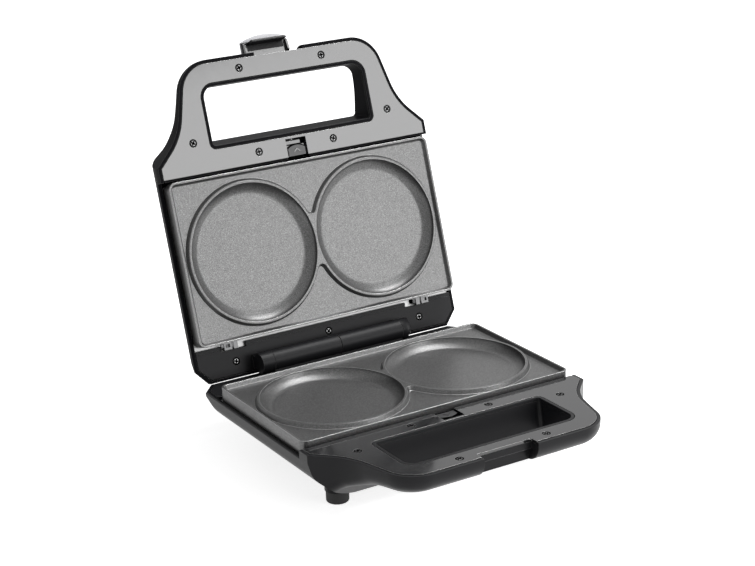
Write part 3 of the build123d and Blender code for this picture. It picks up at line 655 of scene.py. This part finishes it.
# %% Catches
CATCH_TOP, PAD_HEIGHT = -6.6, 1.5
PAD_CURVE, PAD_CENTRE = 12.9, 143.4
GROOVE, GROOVE_RISE = 1.3, 0.35
TONGUE_DROP, SAME_HEIGHT = 0.5, 0.1
LEVEL, STEEP = 0.9, 0.3
FLAT_JOIN = math.radians(0.5)

for half, place, side in (("base", base_place, 1), ("lid", lid_place, -1)):
    piece = borrow(f"{half}_catch", f"{half}_thumb_catch", place,
                   catch_black, catch_grip, painted_shade_black)
    bpy.ops.mesh.dissolve_limited(angle_limit=FLAT_JOIN)
    bpy.ops.object.mode_set(mode="OBJECT")
    ring = start("ring", bpy.ops.mesh.primitive_torus_add, major_segments=120, minor_segments=4,
                 major_radius=PAD_CURVE * MM, minor_radius=GROOVE * MM,
                 location=(0, -PAD_CENTRE * MM, side * (CATCH_TOP + GROOVE_RISE) * MM))
    bpy.ops.object.mode_set(mode="OBJECT")
    cut(piece, ring)
    data = piece.data
    for face in data.polygons:
        height, slope = side * face.center.z / MM, side * face.normal.z
        from_centre = (face.center + Vector((0, PAD_CENTRE, 0)) * MM).xy.length / MM
        # The pad's top is rougher, and the lowered tongue and the groove's walls get the flat black
        # of painted shade.
        if slope > LEVEL and abs(height - CATCH_TOP - PAD_HEIGHT) < SAME_HEIGHT:
            face.material_index = 1
        elif slope > LEVEL and height < CATCH_TOP - TONGUE_DROP:
            face.material_index = 2
        elif STEEP < abs(slope) < LEVEL and abs(from_centre - PAD_CURVE) < GROOVE:
            face.material_index = 2
    data.transform(place)
    only(piece)
    bpy.ops.object.shade_smooth_by_angle(angle=CORNER)
    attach(piece, f"{half}_catch")
    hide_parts(f"{half}_catch")
    print(piece.name, len(data.polygons), "faces")

# %% [markdown]
# ## The latch's lever
# The lever is glossy where a finger pulls it, but round the hook, where it rubs on the base's
# bar, it keeps the dull texture of the mould. A finish can only change at the border of a face.
# So the frame's lever is borrowed and closed, two upright planes at the ends of the hook draw
# that border across it, and its inner faces between them get the dull finish.

# %% Lever
HOOK_HALF, HOOK_TOP = 15.5, -7.9
OUTWARD = -0.5

lever = borrow("latch_lever", "latch_arm", latch_place, latch_black, housing_black)
data = lever.data
for side in (-1, 1):
    bpy.ops.mesh.select_all(action="SELECT")
    bpy.ops.mesh.bisect(plane_co=(side * HOOK_HALF * MM, 0, 0), plane_no=(1, 0, 0))
bpy.ops.object.mode_set(mode="OBJECT")
for face in data.polygons:
    middle = face.center / MM
    inward = face.normal.y > OUTWARD and face.normal.z > OUTWARD
    if inward and middle.z < HOOK_TOP and abs(middle.x) < HOOK_HALF:
        face.material_index = 1
bpy.ops.object.shade_smooth_by_angle(angle=CORNER)
heights = [vertex.co.z / MM for vertex in data.vertices]
print("lever from", round(min(heights), 1), "to", round(max(heights), 1), "mm, dull faces:",
      sum(face.material_index for face in data.polygons))
data.transform(latch_place)
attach(lever, "latch")
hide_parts("latch_lever")

# %% [markdown]
# ## Catch springs
# A small compression spring pushes each catch towards its plate. A curve with a round bevel
# could draw it, but its points would have to be worked out. Here the wire is a circle that a
# Screw modifier carries round and along the axis, by turns and length, and its ends are filled.

# %% One spring
COIL_RADIUS, COIL_WIRE, COIL_TURNS, COIL_Z = 2.0, 0.35, 4, -12.7
COIL_REAR, COIL_FRONT = 157.3, 165.2
STEPS_PER_TURN = 24
WIRE_CORNER = math.radians(50)
COIL_LENGTH = COIL_FRONT - COIL_REAR

spring = start("spring", bpy.ops.mesh.primitive_circle_add, vertices=10, radius=COIL_WIRE * MM,
               location=(COIL_RADIUS * MM, 0, COIL_WIRE * MM), rotation=(math.pi / 2, 0, 0))
bpy.ops.object.mode_set(mode="OBJECT")
winding = spring.modifiers.new("winding", "SCREW")
winding.angle = 2 * math.pi * COIL_TURNS
winding.screw_offset = (COIL_LENGTH - 2 * COIL_WIRE) * MM
winding.steps = winding.render_steps = STEPS_PER_TURN * COIL_TURNS
bpy.ops.object.modifier_apply(modifier=winding.name)
bpy.ops.object.mode_set(mode="EDIT")
bpy.ops.mesh.select_all(action="SELECT")
bpy.ops.mesh.fill_holes(sides=0)
bpy.ops.mesh.normals_make_consistent(inside=False)
bpy.ops.object.mode_set(mode="OBJECT")
bpy.ops.object.shade_smooth_by_angle(angle=WIRE_CORNER)
print("spring faces:", len(spring.data.polygons))

# %% [markdown]
# ### Springs in front of the catches
# The spring was drawn out along Z, so each copy is turned to lie along its catch's slide. It
# rides on the half and not on the catch, because its far end stays at the wall of the handle
# loop.

# %% Springs in front of the catches
for half, place, height in (("base", base_place, COIL_Z), ("lid", lid_place, -COIL_Z)):
    lying = Matrix.Translation(Vector((0, -COIL_REAR, height)) * MM)
    lying = lying @ Matrix.Rotation(math.pi / 2, 4, "X")
    data = spring.data.copy()
    data.transform(place @ lying)
    data.materials.append(spring_steel)
    piece = bpy.data.objects.new(f"{half}_catch_coil", data)
    scene.collection.objects.link(piece)
    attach(piece, half)
    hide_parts(f"{half}_catch_spring")
    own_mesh(piece)
bpy.data.objects.remove(spring)
